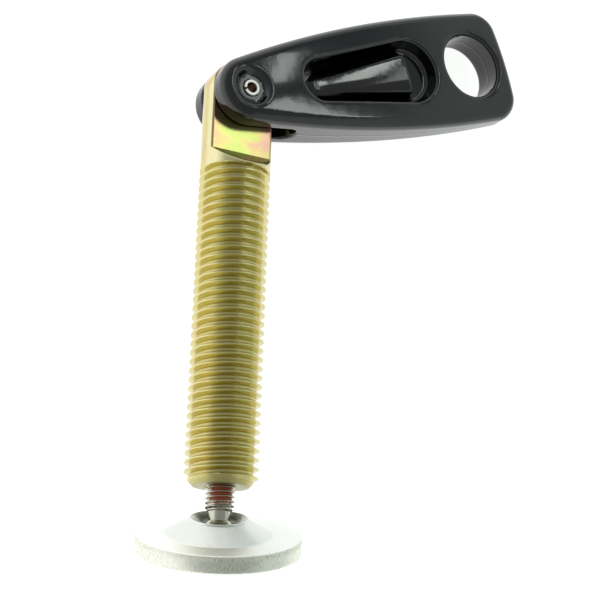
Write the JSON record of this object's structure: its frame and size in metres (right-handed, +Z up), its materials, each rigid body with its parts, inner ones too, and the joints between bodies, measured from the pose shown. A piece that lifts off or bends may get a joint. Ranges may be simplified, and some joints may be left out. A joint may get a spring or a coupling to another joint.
{
  "type": "transom clamp screw",
  "caption": "Threaded clamp screw with a folding forked lever pinned to its flattened head and a swivelling round pressure pad on a ball stud at its foot.",
  "frame": {"origin": "centre of the screw's foot, on the thread's axis", "axes": "+Z up from the surface that the part lies on, +Y from the pad towards the lever along the lying screw, +X towards the lever's free end"},
  "size_m": [0.1172, 0.183, 0.0434],
  "materials": {
    "yellow_zinc_steel": "zinc plated steel with an olive-gold chromate film",
    "black_painted_alloy": "die-cast alloy with gloss black paint",
    "spring_steel": "bright rolled spring steel",
    "stud_steel": "bright steel with a red-brown thread-locking patch",
    "tumbled_steel": "satin tumbled stainless steel with a fine grain"
  },
  "bodies": {
    "screw": {"clamp_screw": "yellow_zinc_steel"},
    "lever": {"lever": "black_painted_alloy", "pivot_pin": "spring_steel"},
    "stud": {"swivel_stud": "stud_steel"},
    "pad": {"pad": "tumbled_steel"}
  },
  "joints": [
    {"name": "lever_pivot", "type": "hinge", "parent": "screw", "child": "lever", "pos_m": [0, 0.11147, -0.00983], "axis": [0, 0.0878, 0.9961], "range_deg": [-33, 173]},
    {"name": "pad_spin", "type": "hinge", "parent": "screw", "child": "stud", "pos_m": [0, -0.01375, 0.00121], "axis": [0, -0.9961, 0.0878], "continuous": true},
    {"name": "pad_tilt", "type": "hinge", "parent": "stud", "child": "pad", "pos_m": [0, -0.01375, 0.00121], "axis": [0.9063, 0.0371, 0.421], "range_deg": [-44, 0]}
  ]
}
